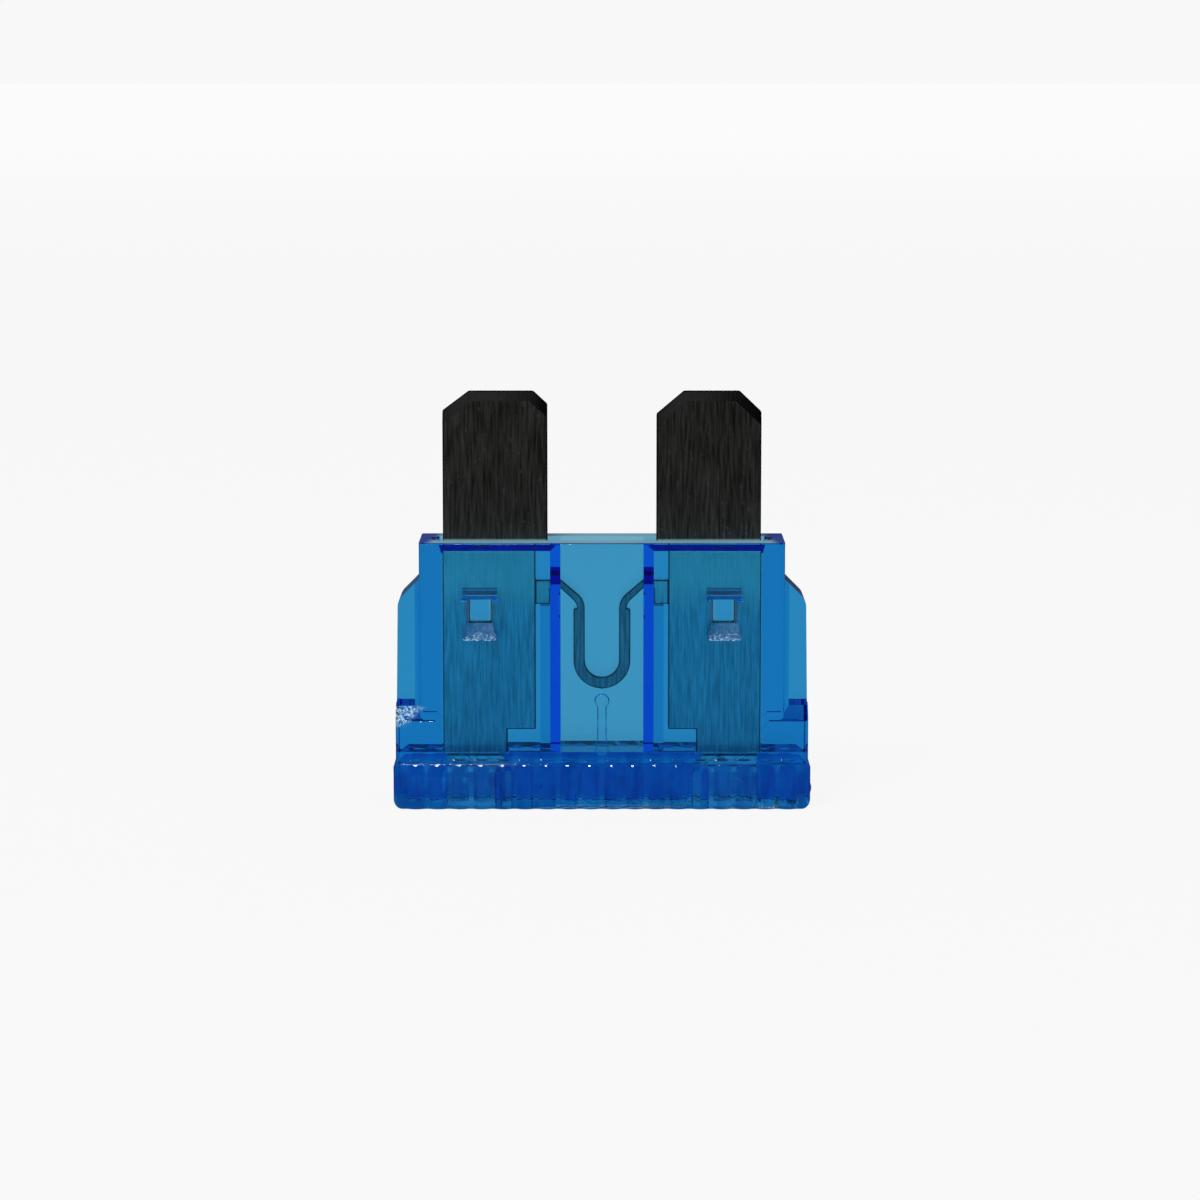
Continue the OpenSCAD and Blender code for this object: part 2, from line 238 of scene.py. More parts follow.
def grip_rib_tree():
    """A node tree that sets one rib out in a row, on the front face and on the back."""
    tree = bpy.data.node_groups.new("grip_rib_row", "GeometryNodeTree")
    tree.interface.new_socket("Geometry", in_out="INPUT", socket_type="NodeSocketGeometry")
    tree.interface.new_socket("Rib count", in_out="INPUT", socket_type="NodeSocketInt")
    tree.interface.new_socket("Rib pitch", in_out="INPUT", socket_type="NodeSocketFloat")
    tree.interface.new_socket("Plastic", in_out="INPUT", socket_type="NodeSocketMaterial")
    tree.interface.new_socket("Geometry", in_out="OUTPUT", socket_type="NodeSocketGeometry")
    start = tree.nodes.new("NodeGroupInput")
    end = tree.nodes.new("NodeGroupOutput")
    gaps = tree.nodes.new("ShaderNodeMath")
    gaps.operation = "SUBTRACT"
    gaps.inputs[1].default_value = 1
    half_row = tree.nodes.new("ShaderNodeMath")
    half_row.operation = "MULTIPLY"
    first = tree.nodes.new("ShaderNodeMath")
    first.operation = "MULTIPLY"
    first.inputs[1].default_value = -0.5
    step = tree.nodes.new("ShaderNodeCombineXYZ")
    origin = tree.nodes.new("ShaderNodeCombineXYZ")
    row = tree.nodes.new("GeometryNodeMeshLine")
    placed = tree.nodes.new("GeometryNodeInstanceOnPoints")
    back = tree.nodes.new("GeometryNodeTransform")
    back.inputs["Rotation"].default_value = (0, 0, math.pi)
    both = tree.nodes.new("GeometryNodeJoinGeometry")
    real = tree.nodes.new("GeometryNodeRealizeInstances")
    paint = tree.nodes.new("GeometryNodeSetMaterial")
    link = tree.links.new
    link(start.outputs["Rib count"], gaps.inputs[0])
    link(gaps.outputs[0], half_row.inputs[0])
    link(start.outputs["Rib pitch"], half_row.inputs[1])
    link(half_row.outputs[0], first.inputs[0])
    link(first.outputs[0], origin.inputs["X"])
    link(start.outputs["Rib pitch"], step.inputs["X"])
    link(start.outputs["Rib count"], row.inputs["Count"])
    link(origin.outputs[0], row.inputs["Start Location"])
    link(step.outputs[0], row.inputs["Offset"])
    link(row.outputs[0], placed.inputs["Points"])
    link(start.outputs["Geometry"], placed.inputs["Instance"])
    link(placed.outputs[0], back.inputs["Geometry"])
    link(placed.outputs[0], both.inputs[0])
    link(back.outputs[0], both.inputs[0])
    link(both.outputs[0], real.inputs[0])
    link(real.outputs[0], paint.inputs["Geometry"])
    link(start.outputs["Plastic"], paint.inputs["Material"])
    link(paint.outputs[0], end.inputs[0])
    return tree


class Signal:
    """A number that a material works out at each point, for use in plain sums."""

    def __init__(self, finish, socket):
        self.finish = finish
        self.socket = socket

    def sum(self, operation, first, second):
        settings = {"operation": operation}
        return self.finish.node("ShaderNodeMath", settings, {0: first, 1: second}, 0)

    def __add__(self, other):
        return self.sum("ADD", self, other)

    def __radd__(self, other):
        return self.sum("ADD", other, self)

    def __sub__(self, other):
        return self.sum("SUBTRACT", self, other)

    def __rsub__(self, other):
        return self.sum("SUBTRACT", other, self)

    def __mul__(self, other):
        return self.sum("MULTIPLY", self, other)

    def __rmul__(self, other):
        return self.sum("MULTIPLY", other, self)


class Finish:
    """A material being made, with short ways to add its nodes."""

    def __init__(self, name):
        self.material = bpy.data.materials.new(name)
        self.material.use_nodes = True
        self.tree = self.material.node_tree
        self.tree.nodes.clear()
        self.place = self.node("ShaderNodeTexCoord", {}, {}, "Object")

    def node(self, kind, settings, sockets, output=None):
        """Adds a node: its settings first, then its sockets. Gives the named output as a signal."""
        added = self.tree.nodes.new(kind)
        for name, value in settings.items():
            setattr(added, name, value)
        for name, value in sockets.items():
            if isinstance(value, Signal):
                self.tree.links.new(value.socket, added.inputs[name])
            else:
                added.inputs[name].default_value = value
        return added if output is None else Signal(self, added.outputs[output])

    def noise(self, scale, detail=2.0, stretch=(1, 1, 1)):
        """Even noise from 0 to 1 with so many patches in a millimetre, stretched along an axis."""
        scales = [scale / MM / part for part in stretch]
        spread = self.node("ShaderNodeMapping", {}, {"Vector": self.place, "Scale": scales}, 0)
        return self.node(
            "ShaderNodeTexNoise", {}, {"Vector": spread, "Scale": 1.0, "Detail": detail}, 0
        )

    def between(self, signal, low, high):
        """0 below low, 1 above high, and a smooth rise from one to the other."""
        return self.node(
            "ShaderNodeMapRange", {"interpolation_type": "SMOOTHSTEP"},
            {"Value": signal, "From Min": low, "From Max": high}, 0,
        )

    def within(self, signal, low, high, soft):
        """1 inside a range and 0 outside it, with soft ends."""
        return self.between(signal, low, low + soft) * (1 - self.between(signal, high - soft, high))

    def rise(self, signal, low, high):
        """The same smooth rise, between two places in millimetres."""
        return self.between(signal, low * MM, high * MM)

    def inside(self, signal, low, high, soft):
        """1 between two places in millimetres and 0 outside them, with soft ends."""
        return self.within(signal, low * MM, high * MM, soft * MM)

    def along(self, vector, axis):
        """One of the three parts of a vector."""
        return self.node("ShaderNodeSeparateXYZ", {}, {0: vector}, axis)

    def unsigned(self, signal):
        """A number without its sign."""
        return self.node("ShaderNodeMath", {"operation": "ABSOLUTE"}, {0: signal}, 0)

    def covered(self, amount, surface, colour, roughness):
        """A surface that a dull plastic colour covers as the amount goes from 0 to 1."""
        dull = self.node(
            "ShaderNodeBsdfPrincipled", {},
            {"Base Color": colour, "Roughness": roughness, "IOR": 1.58}, 0,
        )
        return self.node("ShaderNodeMixShader", {}, {0: amount, 1: surface, 2: dull}, 0)

    def blend(self, amount, first, second):
        """From the first colour to the second as the amount goes from 0 to 1."""
        return self.node(
            "ShaderNodeMix", {"data_type": "RGBA"}, {0: amount, 6: first, 7: second}, 2
        )


# The stake holes in the blades, which the punched pockets and their scuffs follow.
hole_x = 5.6
hole_z = 8.95
hole_half_w = 0.475
hole_half_h = 0.575


def clear_blue_plastic():
    """Clear polycarbonate whose blue is in its depth, with a pale end face, painted shade on the wings'
    slopes, and a few scuffs with painted glints.
    """
    finish = Finish("clear_blue_polycarbonate")
    x, y, z = [finish.along(finish.place, axis) for axis in "XYZ"]
    reach = finish.unsigned(x)

    # Faint waves all over, with ripples and darker mottled patches in the thick cap.
    in_cap = 1 - finish.rise(z, 1.45, 1.75)
    ripple = finish.noise(1.5, 2.0, (1, 1, 1.6))
    waves = finish.noise(0.35, 1.0) * 0.3 + ripple * in_cap * 1.6
    relief = finish.node(
        "ShaderNodeBump", {}, {"Strength": 0.5, "Distance": 0.04 * MM, "Height": waves}, 0
    )
    cells = finish.between(finish.noise(0.9, 2.0, (1, 1, 1.7)), 0.42, 0.66) * in_cap
    cap_mottle = finish.blend(cells, (1, 1, 1, 1), (0.42, 0.52, 0.72, 1))
    rubbed = (1 - finish.rise(z, 0.004, 0.03)) * 0.1
    surface = finish.node(
        "ShaderNodeBsdfPrincipled", {},
        {
            "Base Color": cap_mottle, "Roughness": rubbed, "IOR": 1.58, "Transmission Weight": 1.0,
            "Normal": relief,
        },
        0,
    )

    # The end face round the mouth, pale in the middle and deep blue toward its two ends.
    end_face = finish.rise(z, mouth_z - 0.012, mouth_z - 0.006)
    end_face = end_face * finish.rise(y, 0.10 - body_y, 0.16 - body_y)
    toward_end = finish.rise(reach + y * 0.15, 7.4, 7.95)
    end_tone = finish.blend(toward_end, (0.20, 0.39, 0.51, 1), (0.012, 0.05, 0.33, 1))
    surface = finish.covered(end_face, surface, end_tone, 0.5)

    # The sloped upper edges of the wings, painted a dull dark blue: a painted shade over what they
    # reflect.
    normal = finish.node("ShaderNodeNewGeometry", {}, {}, "Normal")
    wing_slope_painted_shade = finish.between(finish.along(normal, "Z"), 0.3, 0.5)
    wing_slope_painted_shade = wing_slope_painted_shade * finish.rise(reach, 8.36, 8.40) * finish.rise(z, 8.5, 9.0)
    surface = finish.covered(wing_slope_painted_shade * 0.9, surface, (0.02, 0.10, 0.30, 1), 0.5)

    # White scuffs and painted glints: on the ramps and lips that the staking punch tore, and on the left
    # foot's slope.
    torn = finish.noise(9.0, 6.0, (1, 1, 1.3))
    ramp = finish.inside(y, -body_y, -0.76, 0.04) * finish.inside(z, 7.66, 8.40, 0.06)
    ramp = ramp * finish.inside(reach, hole_x - 0.8, hole_x + 0.8, 0.1)
    ramp_low = 1 - finish.rise(z, 7.75, 8.1)
    lip = finish.inside(y, 0.42 - body_y, 0.48 - body_y, 0.01) * finish.inside(z, 9.76, 10.04, 0.03)
    lip = lip * finish.inside(reach, hole_x - 0.84, hole_x + 0.84, 0.04)
    slope = finish.inside(y, -foot_y - 0.1, -wing_y - 0.03, 0.03) * finish.inside(z, 3.7, 4.7, 0.1)
    slope = slope * (1 - finish.rise(x + 4.6 * MM - z, -8.5, -8.0))
    scuff_and_painted_glint = (0.06 + finish.between(torn, 0.42, 0.66) * (0.15 + ramp_low * 0.5)) * ramp + lip * 0.1
    scuff_and_painted_glint = scuff_and_painted_glint + finish.between(torn, 0.38, 0.66) * slope * 0.9
    surface = finish.covered(scuff_and_painted_glint, surface, (0.45, 0.75, 0.95, 1), 0.45)

    depth = finish.node(
        "ShaderNodeVolumeAbsorption", {}, {"Color": (0.042, 0.762, 0.974, 1), "Density": 1200.0}, 0
    )
    finish.node("ShaderNodeOutputMaterial", {}, {"Surface": surface, "Volume": depth})
    return finish.material


plastic = clear_blue_plastic()
row = rib.modifiers.new("row", "NODES")
row.node_group = grip_rib_tree()
sockets = row.node_group.interface.items_tree
inputs = {item.name: item.identifier for item in sockets if item.in_out == "INPUT"}
row[inputs["Rib count"]] = rib_count
row[inputs["Rib pitch"]] = rib_pitch
row[inputs["Plastic"]] = plastic
settle(rib)
combine(cap, "UNION", rib)

# The gate stub left on the cap's right-hand end where the moulding was broken off its runner.
gate_r = 0.55
gate_proud = 0.165
gate_centre = (cap_half + gate_proud - gate_r, 0, gate_r + 0.01)
stub = bmesh.new()
bmesh.ops.create_icosphere(
    stub, subdivisions=3, radius=gate_r, matrix=Matrix.Translation(gate_centre)
)
combine(cap, "UNION", solid_from(stub, "gate_stub"))

# The body: one flat block, rounded down its corners and round its mouth.
core = prism("core", rounded(rectangle(body_half, body_y), 0.25), "z", root_z, mouth_z)
combine(
    core, "INTERSECT",
    prism(
        "core_side",
        rounded([(-body_y, 1), (body_y, 1), (body_y, mouth_z), (-body_y, mouth_z)], [0, 0, 0.1, 0.1]),
        "x", -cap_half, cap_half,
    ),
)

# The wings and their roots, and the feet that carry them on the cap.
wing_half = 9.34
wing_top_z = 10.5
slope_end_z = wing_top_z - (wing_half - body_half)
foot_half = 9.45
wing_front = rounded(
    [
        (body_half - 0.5, root_z), (foot_half, root_z), (foot_half, cap_h), (wing_half, slope_end_z),
        (body_half, wing_top_z), (body_half - 0.5, wing_top_z),
    ],
    [0, 0, 0, 0.7, 0, 0], 8,
)
wing = prism("wing", wing_front, "y", -wing_y, wing_y)
root = prism(
    "wing_root",
    [
        (body_half - 0.5, 0.3 - body_y), (body_half - 0.02, 0.25 - body_y), (body_half + 0.22, -wing_y),
        (body_half + 0.22, wing_y), (body_half - 0.02, body_y - 0.25), (body_half - 0.5, body_y - 0.3),
    ],
    "z", root_z, mouth_z,
)
combine(root, "INTERSECT", prism("root_front", wing_front, "y", -body_y, body_y))
foot_h = 4.0
foot_top_z = 4.65
foot_inner_x = 7.25
foot = prism(
    "foot",
    rounded(
        [
            (-foot_y, root_z), (foot_y, root_z), (foot_y, foot_h), (wing_y - 0.07, foot_top_z + 0.09),
            (0.07 - wing_y, foot_top_z + 0.09), (-foot_y, foot_h),
        ],
        [0, 0, 0.03, 0, 0, 0.03],
    ),
    "x", foot_inner_x, foot_half,
)
combine(
    foot, "INTERSECT",
    prism(
        "foot_front",
        rounded(
            [
                (foot_inner_x, root_z), (foot_half, root_z), (foot_half, foot_top_z + 0.2),
                (foot_inner_x + 0.4, foot_top_z + 0.2), (foot_inner_x + 0.4, foot_h),
                (foot_inner_x, foot_h - 0.4),
            ],
            [0, 0, 0, 0, 0, 0.1],
        ),
        "y", -cap_y, cap_y,
    ),
    prism(
        "foot_plan",
        rounded(
            [(foot_inner_x, -foot_y), (foot_half, -foot_y), (foot_half, foot_y), (foot_inner_x, foot_y)],
            [0, 0.15, 0.15, 0],
        ),
        "z", 0, mouth_z,
    ),
)
combine(wing, "UNION", root, foot)
combine(core, "UNION", mirrored(wing, "x"), wing)

# The slim keyhole-shaped rib low on the front, with sloped flanks.


def keyhole_outline(spread):
    """The rib's outline: a round head on a stem that widens to a foot, all spread by a margin."""
    key_z = shoulder_top_z - 0.15
    flare_z = key_z + 0.85
    half = 0.17 + spread
    head_z = key_z + 2.55
    head_r = 0.3 + spread
    turn = math.asin(half / head_r)
    outline = [(-0.3 - spread, key_z), (0.3 + spread, key_z), (half, flare_z)]
    for step in range(21):
        angle = -math.pi / 2 + turn + (2 * math.pi - 2 * turn) * step / 20
        outline.append((head_r * math.cos(angle), head_z + head_r * math.sin(angle)))
    return outline + [(-half, flare_z)]


key_d = 0.12
key_slope = 0.04
key_rib = bmesh.new()
rings = []
for spread, y in ((0.0, -body_y - key_d), (key_slope, -body_y), (key_slope, 0.1 - body_y)):
    rings.append([key_rib.verts.new((x, y, z)) for x, z in keyhole_outline(spread)])
for front, behind in zip(rings, rings[1:]):
    for index in range(len(front)):
        after = (index + 1) % len(front)
        key_rib.faces.new([front[index], front[after], behind[after], behind[index]])
key_rib.faces.new(rings[0])
key_rib.faces.new(rings[-1])
housing = combine(core, "UNION", cap, solid_from(key_rib, "keyhole_rib"))

# Inside: the chamber of the link, whose flanks slope at 45 degrees and run on round the mouth,
# a slot for each blade, the two test openings, and the pockets that the staking punch leaves
# in the front, with the plastic that it pushed through the blades.
play = 0.05
slot_t = 0.75
slot_out = 7.35
slot_in = 2.83
tongue_slot_in = 4.3
chamber_half = 1.9
chamber_y = 0.85
seat_z = 1.8
notch_z = 3.45
root_foot_z = 9.25
chamber_floor_z = 2.45
test_in = 4.525
test_out = 7.125
test_t = 1.4


def chamber():
    """The cutter for the chamber and the mouth: one hollow, broad in the middle and at the top."""
    flank = chamber_y - slot_t / 2
    corner = (chamber_half + flank, mouth_z - flank)
    sweep_r = 0.6
    pairs = [
        ((chamber_half, chamber_floor_z), (corner[0], chamber_floor_z)),
        ((chamber_half, mouth_z), corner),
        ((slot_out - 0.1, mouth_z), (slot_out - 0.1, corner[1])),
    ]
    for step in range(13):
        turn = math.pi - math.pi / 2 * step / 12
        end_x = slot_out + sweep_r + sweep_r * math.cos(turn)
        end_z = mouth_z - sweep_r + sweep_r * math.sin(turn)
        pairs.append(((slot_out + 0.15, mouth_z), (end_x, end_z)))
    pairs.append(((slot_out + 0.15, mouth_z + 1), (slot_out + sweep_r, mouth_z + 1)))
    outlines = []
    for which in (0, 1):
        right = [pair[which] for pair in pairs]
        outlines.append(right + [(-x, z) for x, z in reversed(right)])
    sheet = bmesh.new()
    rings = []
    for y, which in ((-chamber_y, 0), (-slot_t / 2, 1), (slot_t / 2, 1), (chamber_y, 0)):
        rings.append([sheet.verts.new((x, y, z)) for x, z in outlines[which]])
    for front, behind in zip(rings, rings[1:]):
        for index in range(len(front)):
            after = (index + 1) % len(front)
            sheet.faces.new([front[index], front[after], behind[after], behind[index]])
    sheet.faces.new(rings[0])
    sheet.faces.new(rings[-1])
    bmesh.ops.remove_doubles(sheet, verts=sheet.verts, dist=0.0001)
    return solid_from(sheet, "link_chamber")


def inner_cuts():
    """The cutters for the right-hand blade's slot and its test opening."""
    over = mouth_z + 0.5
    return [
        block("strip_slot", slot_in, slot_out, slot_t, chamber_floor_z, over),
        block("tongue_slot", tongue_slot_in, slot_out, slot_t, seat_z, notch_z),
        block("root_opening", chamber_half + 0.1, slot_in + 0.01, slot_t, root_foot_z - play, over),
        block("test_opening", test_in, test_out, test_t, -1, seat_z),
        block("test_slot", test_in, test_out, slot_t, seat_z / 2, notch_z),
    ]


def stake_pocket():
    """The cutter for one stake pocket: a lip above, a deep waist, and a ramp that flares out below."""
    lip = hole_z + hole_half_h
    waist = hole_z - hole_half_h
    top = lip + 0.52
    ramp = waist - 0.67
    lip_half = 0.825
    waist_half = 0.625
    lip_y = -body_y + 0.45
    floor_y = -0.75
    right = [
        (lip_half, ramp), (waist_half, waist), (waist_half, lip), (lip_half, lip), (lip_half, top),
    ]
    outline = [(hole_x + x, z) for x, z in right] + [(hole_x - x, z) for x, z in reversed(right)]
    pocket = prism("stake_pocket", outline, "y", -cap_half, 0)
    side = prism(
        "pocket_side",
        [
            (-body_y - 1, top), (lip_y, top), (lip_y, lip + 0.25), (lip_y + 0.25, lip),
            (floor_y, lip - 0.05), (floor_y, waist), (-body_y, ramp), (-body_y - 1, ramp),
        ],
        "x", 0, cap_half,
    )
    return combine(pocket, "INTERSECT", side)


for cutter in inner_cuts():
    combine(housing, "DIFFERENCE", mirrored(cutter, "x"), cutter)
combine(housing, "DIFFERENCE", chamber())
pocket = stake_pocket()
combine(housing, "DIFFERENCE", mirrored(pocket, "x"), pocket)
plug = block(
    "stake_plug", hole_x + play - hole_half_w, hole_x + hole_half_w - play, slot_t + 0.1,
    hole_z + play - hole_half_h, hole_z + hole_half_h - play,
)
combine(housing, "UNION", mirrored(plug, "x"), plug)


def finish_solid(solid, edge, material):
    """Merges stray points, softens sharp edges, smooths the arcs and brings a solid to real size."""
    sheet = bmesh.new()
    sheet.from_mesh(solid.data)
    bmesh.ops.remove_doubles(sheet, verts=sheet.verts, dist=0.0005)
    bmesh.ops.dissolve_limit(sheet, angle_limit=math.radians(0.5), verts=sheet.verts, edges=sheet.edges)
    sheet.to_mesh(solid.data)
    sheet.free()
    if edge:
        soft = solid.modifiers.new("soft_edges", "BEVEL")
        soft.width = edge
        soft.segments = 2
        soft.limit_method = "ANGLE"
        soft.angle_limit = math.radians(32)
        soft.use_clamp_overlap = False
        settle(solid)
    solid.data.transform(Matrix.Scale(MM, 4))
    solid.data.materials.clear()
    solid.data.materials.append(material)
    sheet = bmesh.new()
    sheet.from_mesh(solid.data)
    for face in sheet.faces:
        face.smooth = True
        face.material_index = 0
    for line in sheet.edges:
        line.smooth = len(line.link_faces) == 2 and line.calc_face_angle() < math.radians(16)
    sheet.to_mesh(solid.data)
    sheet.free()
    level = solid.modifiers.new("flat_faces", "WEIGHTED_NORMAL")
    level.keep_sharp = True
    return settle(solid)


housing.name = "clear_housing"
finish_solid(housing, 0.0, plastic)
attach(housing, "root")
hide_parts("housing")

# ---- fuse element ----
# One stamping of rolled zinc strip: two blades with bevelled tips, a stake hole and a
# stepped tongue in each, and the thinned link between them, which melts at overload.

element_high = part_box("fuse_element")[1]
tip_z = round(element_high.z / MM, 3)
blade_out = round(element_high.x / MM, 3)
blade_in = blade_out - 4.8
strip_in = 3.05
strip_y = round(element_high.y / MM, 3)
tongue_in = 4.35
shoulder_z = mouth_z - 0.45
tip_y = 0.15
taper_h = 0.45
link_y = 0.15


def tip_taper(point, angle):
    """The space that a blade keeps where its strip is thinned toward one edge of the tip."""
    far = 40
    taper = prism(
        "tip_taper",
        [
            (-tip_y, 0), (-strip_y, -taper_h), (-strip_y, -far), (strip_y, -far),
            (strip_y, -taper_h), (tip_y, 0),
        ],
        "x", -far, far,
    )
    place = Matrix.Translation((point[0], 0, point[1])) @ Matrix.Rotation(-angle, 4, "Y")
    taper.data.transform(place)
    return taper


def blade(name, inner_cut, outer_cut):
    """A right-hand blade, with its tip's two corners cut off by these widths and heights."""
    foot_z = seat_z + 0.01
    shape = prism(
        name,
        [
            (tongue_in, foot_z), (blade_out, foot_z), (blade_out, tip_z - outer_cut[1]),
            (blade_out - outer_cut[0], tip_z), (blade_in + inner_cut[0], tip_z),
            (blade_in, tip_z - inner_cut[1]), (blade_in, shoulder_z), (strip_in, shoulder_z),
            (strip_in, notch_z), (tongue_in, notch_z),
        ],
        "y", -strip_y, strip_y,
    )
    hole = block(
        "hole", hole_x - hole_half_w, hole_x + hole_half_w, 4,
        hole_z - hole_half_h, hole_z + hole_half_h,
    )
    combine(
        shape, "INTERSECT",
        tip_taper((0, tip_z), 0),
        tip_taper((blade_in, tip_z - inner_cut[1]), math.atan2(inner_cut[1], inner_cut[0])),
        tip_taper((blade_out, tip_z - outer_cut[1]), -math.atan2(outer_cut[1], outer_cut[0])),
    )
    return combine(shape, "DIFFERENCE", hole)


def arc(centre, radius, start, end, steps):
    """Points on a circle from one angle to another, in degrees."""
    turns = [math.radians(start + (end - start) * step / steps) for step in range(steps + 1)]
    return [(centre[0] + radius * math.cos(turn), centre[1] + radius * math.sin(turn)) for turn in turns]


leg_in = 0.79
leg_out = 1.31
arc_z = 6.6
leg_top_z = 8.98
neck_in_r = 0.92
neck_out_r = 0.58
neck_x = leg_in + neck_in_r
bend_end = 130
root_x = chamber_half + chamber_y - slot_t / 2
root_top_z = 10.35
root_low_z = root_top_z - 0.4
past_middle = -91  # one degree over the middle, so that the two halves of the link overlap
half_link = (
    arc((0, arc_z), leg_out, past_middle, 0, 16)
    + [(leg_out, leg_top_z)]
    + arc((neck_x, leg_top_z), neck_out_r, 180, bend_end, 10)[1:]
    + [(chamber_half, root_low_z), (root_x, root_low_z), (root_x, root_foot_z)]
    + [(strip_in + 0.1, root_foot_z), (strip_in + 0.1, root_top_z), (chamber_half, root_top_z)]
    + arc((neck_x, leg_top_z), neck_in_r, bend_end, 180, 12)
    + arc((0, arc_z), leg_in, 0, past_middle, 14)
)
link_right = prism("link", half_link, "y", -link_y, link_y)
link_left = mirrored(link_right, "x")

element = combine(
    blade("fuse_strip", [1.25, 1.05], [1.0, 0.95]), "UNION",
    mirrored(blade("left_blade", [0.65, 0.6], [1.2, 0.9]), "x", keep=False), link_right, link_left,
)


def rolled_zinc():
    """Rolled zinc with fine lengthwise marks, painted bright where it is shut in, as if lit through the
    plastic, and painted dark in the open.
    """
    finish = Finish("rolled_zinc")
    reach = finish.unsigned(finish.along(finish.place, "X"))
    z = finish.along(finish.place, "Z")
    normal = finish.node("ShaderNodeNewGeometry", {}, {}, "Normal")
    facing = finish.unsigned(finish.along(normal, "Y"))
    streaks = finish.between(finish.noise(9.0, 3.0, (1, 1, 14)), 0.25, 0.75)
    broad = finish.noise(1.2, 2.0, (1, 1, 5))
    specks = finish.between(finish.noise(7.0, 1.0, (1, 1, 2)), 0.68, 0.74)

    # Inside the housing: painted light, paler toward the mouth, and painted shade, darker in the link,
    # near black low in the cap and dark blue round the stakes.
    low_tone = finish.blend(streaks, (0.32, 0.50, 0.48, 1), (0.66, 0.88, 0.86, 1))
    painted_lit_tone = finish.blend(streaks, (0.86, 0.86, 0.66, 1), (0.99, 0.99, 0.84, 1))
    inner = finish.blend(finish.rise(z + broad * 2.0 * MM, 9.6, 11.4), low_tone, painted_lit_tone)
    link_painted_shade = finish.blend(streaks, (0.06, 0.18, 0.23, 1), (0.22, 0.44, 0.52, 1))
    inner = finish.blend(1 - finish.rise(reach, 2.3, 2.5), inner, link_painted_shade)
    # Painted shade: near black low in the cap.
    inner = finish.blend(finish.rise(z, 1.95, 2.25), (0.03, 0.05, 0.07, 1), inner)
    # Painted shade round the stake holes.
    waist = finish.inside(reach, hole_x - 0.66, hole_x + 0.66, 0.04)
    waist = waist * finish.inside(z, 8.35, 9.55, 0.05)
    lip = finish.inside(reach, hole_x - 0.83, hole_x + 0.83, 0.05)
    lip = lip * finish.inside(z, 9.5, 10.05, 0.05)
    inner = finish.blend(waist + lip, inner, (0.09, 0.30, 0.52, 1))

    # In the open: painted dark as shade, with a few paler specks.
    open_painted_dark = finish.blend(streaks, (0.030, 0.030, 0.028, 1), (0.135, 0.135, 0.128, 1))
    open_painted_dark = finish.blend(specks * 0.35, open_painted_dark, (0.25, 0.25, 0.24, 1))
    open_air = finish.rise(z, mouth_z - 0.1, mouth_z + 0.05)
    colour = finish.blend(open_air, inner, open_painted_dark)

    # The cut edges and the thinned tips, painted dark as shade on the faces that turn away from the
    # front.
    edge_painted_shade = 1 - finish.between(facing, 0.94, 0.995)
    edge_shade_tone = finish.blend(open_air, (0.012, 0.035, 0.06, 1), (0.010, 0.010, 0.010, 1))
    colour = finish.blend(edge_painted_shade, colour, edge_shade_tone)

    marks = streaks + broad * 0.5
    relief = finish.node(
        "ShaderNodeBump", {}, {"Strength": 0.3, "Distance": 0.01 * MM, "Height": marks}, 0
    )
    surface = finish.node(
        "ShaderNodeBsdfPrincipled", {},
        {
            "Base Color": colour, "Metallic": 1.0, "Roughness": 0.34 + broad * 0.22,
            "Normal": relief,
        },
        0,
    )
    finish.node("ShaderNodeOutputMaterial", {}, {"Surface": surface})
    return finish.material


finish_solid(element, 0.05, rolled_zinc())
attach(element, "root")
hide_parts("fuse_element")

# ---- floor, lights and camera ----
# A plain pale floor in a white room that is grey through the plastic and dim in reflections,
# one wide key light from the upper left, and the camera a little above, square to the front.

PALE = 0.94
THROUGH = 0.42


def grey(level):
    """A colour of three equal parts."""
    return (level, level, level, 1)


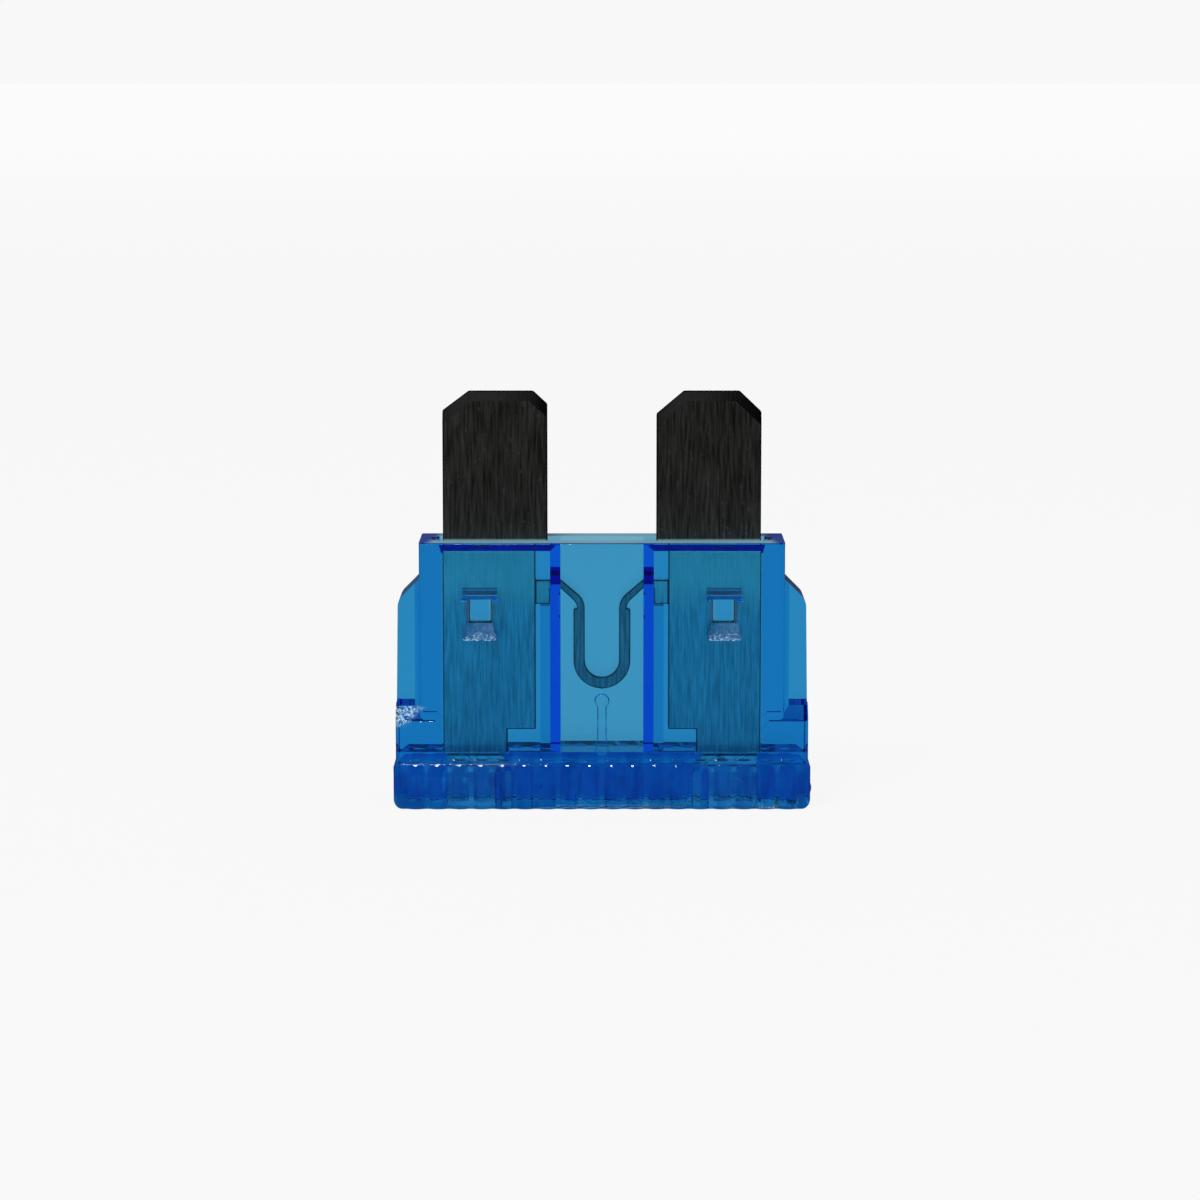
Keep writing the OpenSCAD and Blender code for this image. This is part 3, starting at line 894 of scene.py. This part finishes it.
def pale_floor():
    """A floor that keeps a soft shadow, looks as pale as the room, and is darker through the plastic,
    with painted light and shadow under the fuse.
    """
    finish = Finish("pale_floor")
    seen = finish.node("ShaderNodeLightPath", {}, {})
    camera = Signal(finish, seen.outputs["Is Camera Ray"])
    through = Signal(finish, seen.outputs["Is Transmission Ray"])
    aside = finish.unsigned(finish.along(finish.place, "X"))
    depth = finish.along(finish.place, "Y")
    reach = finish.node("ShaderNodeVectorMath", {"operation": "LENGTH"}, {0: finish.place}, "Value")
    far = finish.rise(reach, 10, 16)
    tone = finish.blend(through * far, grey(0.05), grey(0.27))
    lit = finish.node("ShaderNodeBsdfDiffuse", {}, {"Color": tone}, 0)

    # Through the plastic: painted pale right beneath the fuse with painted shade under the test
    # openings, a painted blue shadow near the fuse, and grey far off.
    shade = finish.inside(aside, 4.4, 7.2, 0.1) * finish.inside(depth, -0.8, 0.8, 0.1)
    painted_beneath_tone = finish.blend(shade, grey(0.50), (0.10, 0.26, 0.45, 1))
    distant = finish.blend(finish.rise(depth, -60, -15), (0.46, 0.44, 0.40, 1), grey(0.30))
    painted_shadow_tone = finish.blend(far, (0.16, 0.23, 0.39, 1), distant)
    beneath = 1 - finish.rise(finish.unsigned(depth), 2.5, 3.1)
    inner_tone = finish.blend(beneath, painted_shadow_tone, painted_beneath_tone)

    # In a reflection: black in front and dim behind. To the eye: white, a little darker nearby.
    mirrored_tone = finish.blend(finish.between(depth, 0.0, 0.2), grey(0), grey(0.04))
    seen_tone = finish.blend(finish.between(reach, 0.1, 1.5), grey(0.89), grey(0.937))
    glow_tone = finish.blend(through, mirrored_tone, inner_tone)
    glow_tone = finish.blend(camera, glow_tone, seen_tone)
    glow = finish.node("ShaderNodeEmission", {}, {"Color": glow_tone, "Strength": 1.0}, 0)
    both = finish.node("ShaderNodeAddShader", {}, {0: lit, 1: glow}, 0)
    finish.node("ShaderNodeOutputMaterial", {}, {"Surface": both})
    return finish.material


sheet = bmesh.new()
bmesh.ops.create_circle(sheet, cap_ends=True, segments=96, radius=4.0)
floor = solid_from(sheet, "floor")
floor.data.materials.append(pale_floor())


def white_room():
    """A room that is white to the eye, grey through the plastic, and dim in reflections."""
    room = bpy.data.worlds.new("white_room")
    room.use_nodes = True
    tree = room.node_tree
    tree.nodes.clear()
    ray = tree.nodes.new("ShaderNodeLightPath")
    place = tree.nodes.new("ShaderNodeTexCoord")
    parts = tree.nodes.new("ShaderNodeSeparateXYZ")
    wall = tree.nodes.new("ShaderNodeMapRange")
    wall.interpolation_type = "SMOOTHSTEP"
    wall.inputs["From Min"].default_value = 0.2
    wall.inputs["From Max"].default_value = 0.95
    wall.inputs["To Min"].default_value = 0.03
    wall.inputs["To Max"].default_value = 0.05
    soft = tree.nodes.new("ShaderNodeMapRange")
    soft.inputs["To Min"].default_value = 0.6
    seen = tree.nodes.new("ShaderNodeMapRange")
    seen.inputs["To Max"].default_value = PALE
    through = tree.nodes.new("ShaderNodeMapRange")
    through.inputs["To Max"].default_value = THROUGH
    light = tree.nodes.new("ShaderNodeBackground")
    light.inputs["Color"].default_value = (1, 1, 1, 1)
    end = tree.nodes.new("ShaderNodeOutputWorld")
    link = tree.links.new
    link(place.outputs["Generated"], parts.inputs[0])
    link(parts.outputs["Y"], wall.inputs["Value"])
    link(ray.outputs["Is Transmission Ray"], through.inputs["Value"])
    link(ray.outputs["Is Glossy Ray"], soft.inputs["Value"])
    link(wall.outputs[0], soft.inputs["To Max"])
    link(soft.outputs[0], through.inputs["To Min"])
    link(ray.outputs["Is Camera Ray"], seen.inputs["Value"])
    link(through.outputs[0], seen.inputs["To Min"])
    link(seen.outputs[0], light.inputs["Strength"])
    link(light.outputs[0], end.inputs["Surface"])
    return room


scene.world = white_room()

key_light = bpy.data.lights.new("key_light", "AREA")
key_light.shape = "RECTANGLE"
key_light.size = 0.3
key_light.size_y = 0.1
key_light.energy = 1.9
key = bpy.data.objects.new("key_light", key_light)
key_from = Vector((-0.155, -0.35, 0.40))
key.matrix_world = Matrix.Translation(key_from) @ key_from.to_track_quat("Z", "Y").to_matrix().to_4x4()
scene.collection.objects.link(key)

aim = Vector((-0.088 * MM, 0, 9.33 * MM))
tilt = math.radians(8)
away = 0.18
lens = bpy.data.cameras.new("camera")
lens.lens = 117.18
lens.sensor_width = 36.0
lens.clip_start = 0.01
lens.clip_end = 20.0
camera = bpy.data.objects.new("camera", lens)
camera.location = aim + Vector((0, -away * math.cos(tilt), away * math.sin(tilt)))
camera.rotation_euler = (math.pi / 2 - tilt, 0, 0)
scene.collection.objects.link(camera)
scene.camera = camera
scene.view_settings.view_transform = "Standard"
scene.cycles.glossy_bounces = 12
scene.cycles.transmission_bounces = 24
scene.cycles.max_bounces = 24
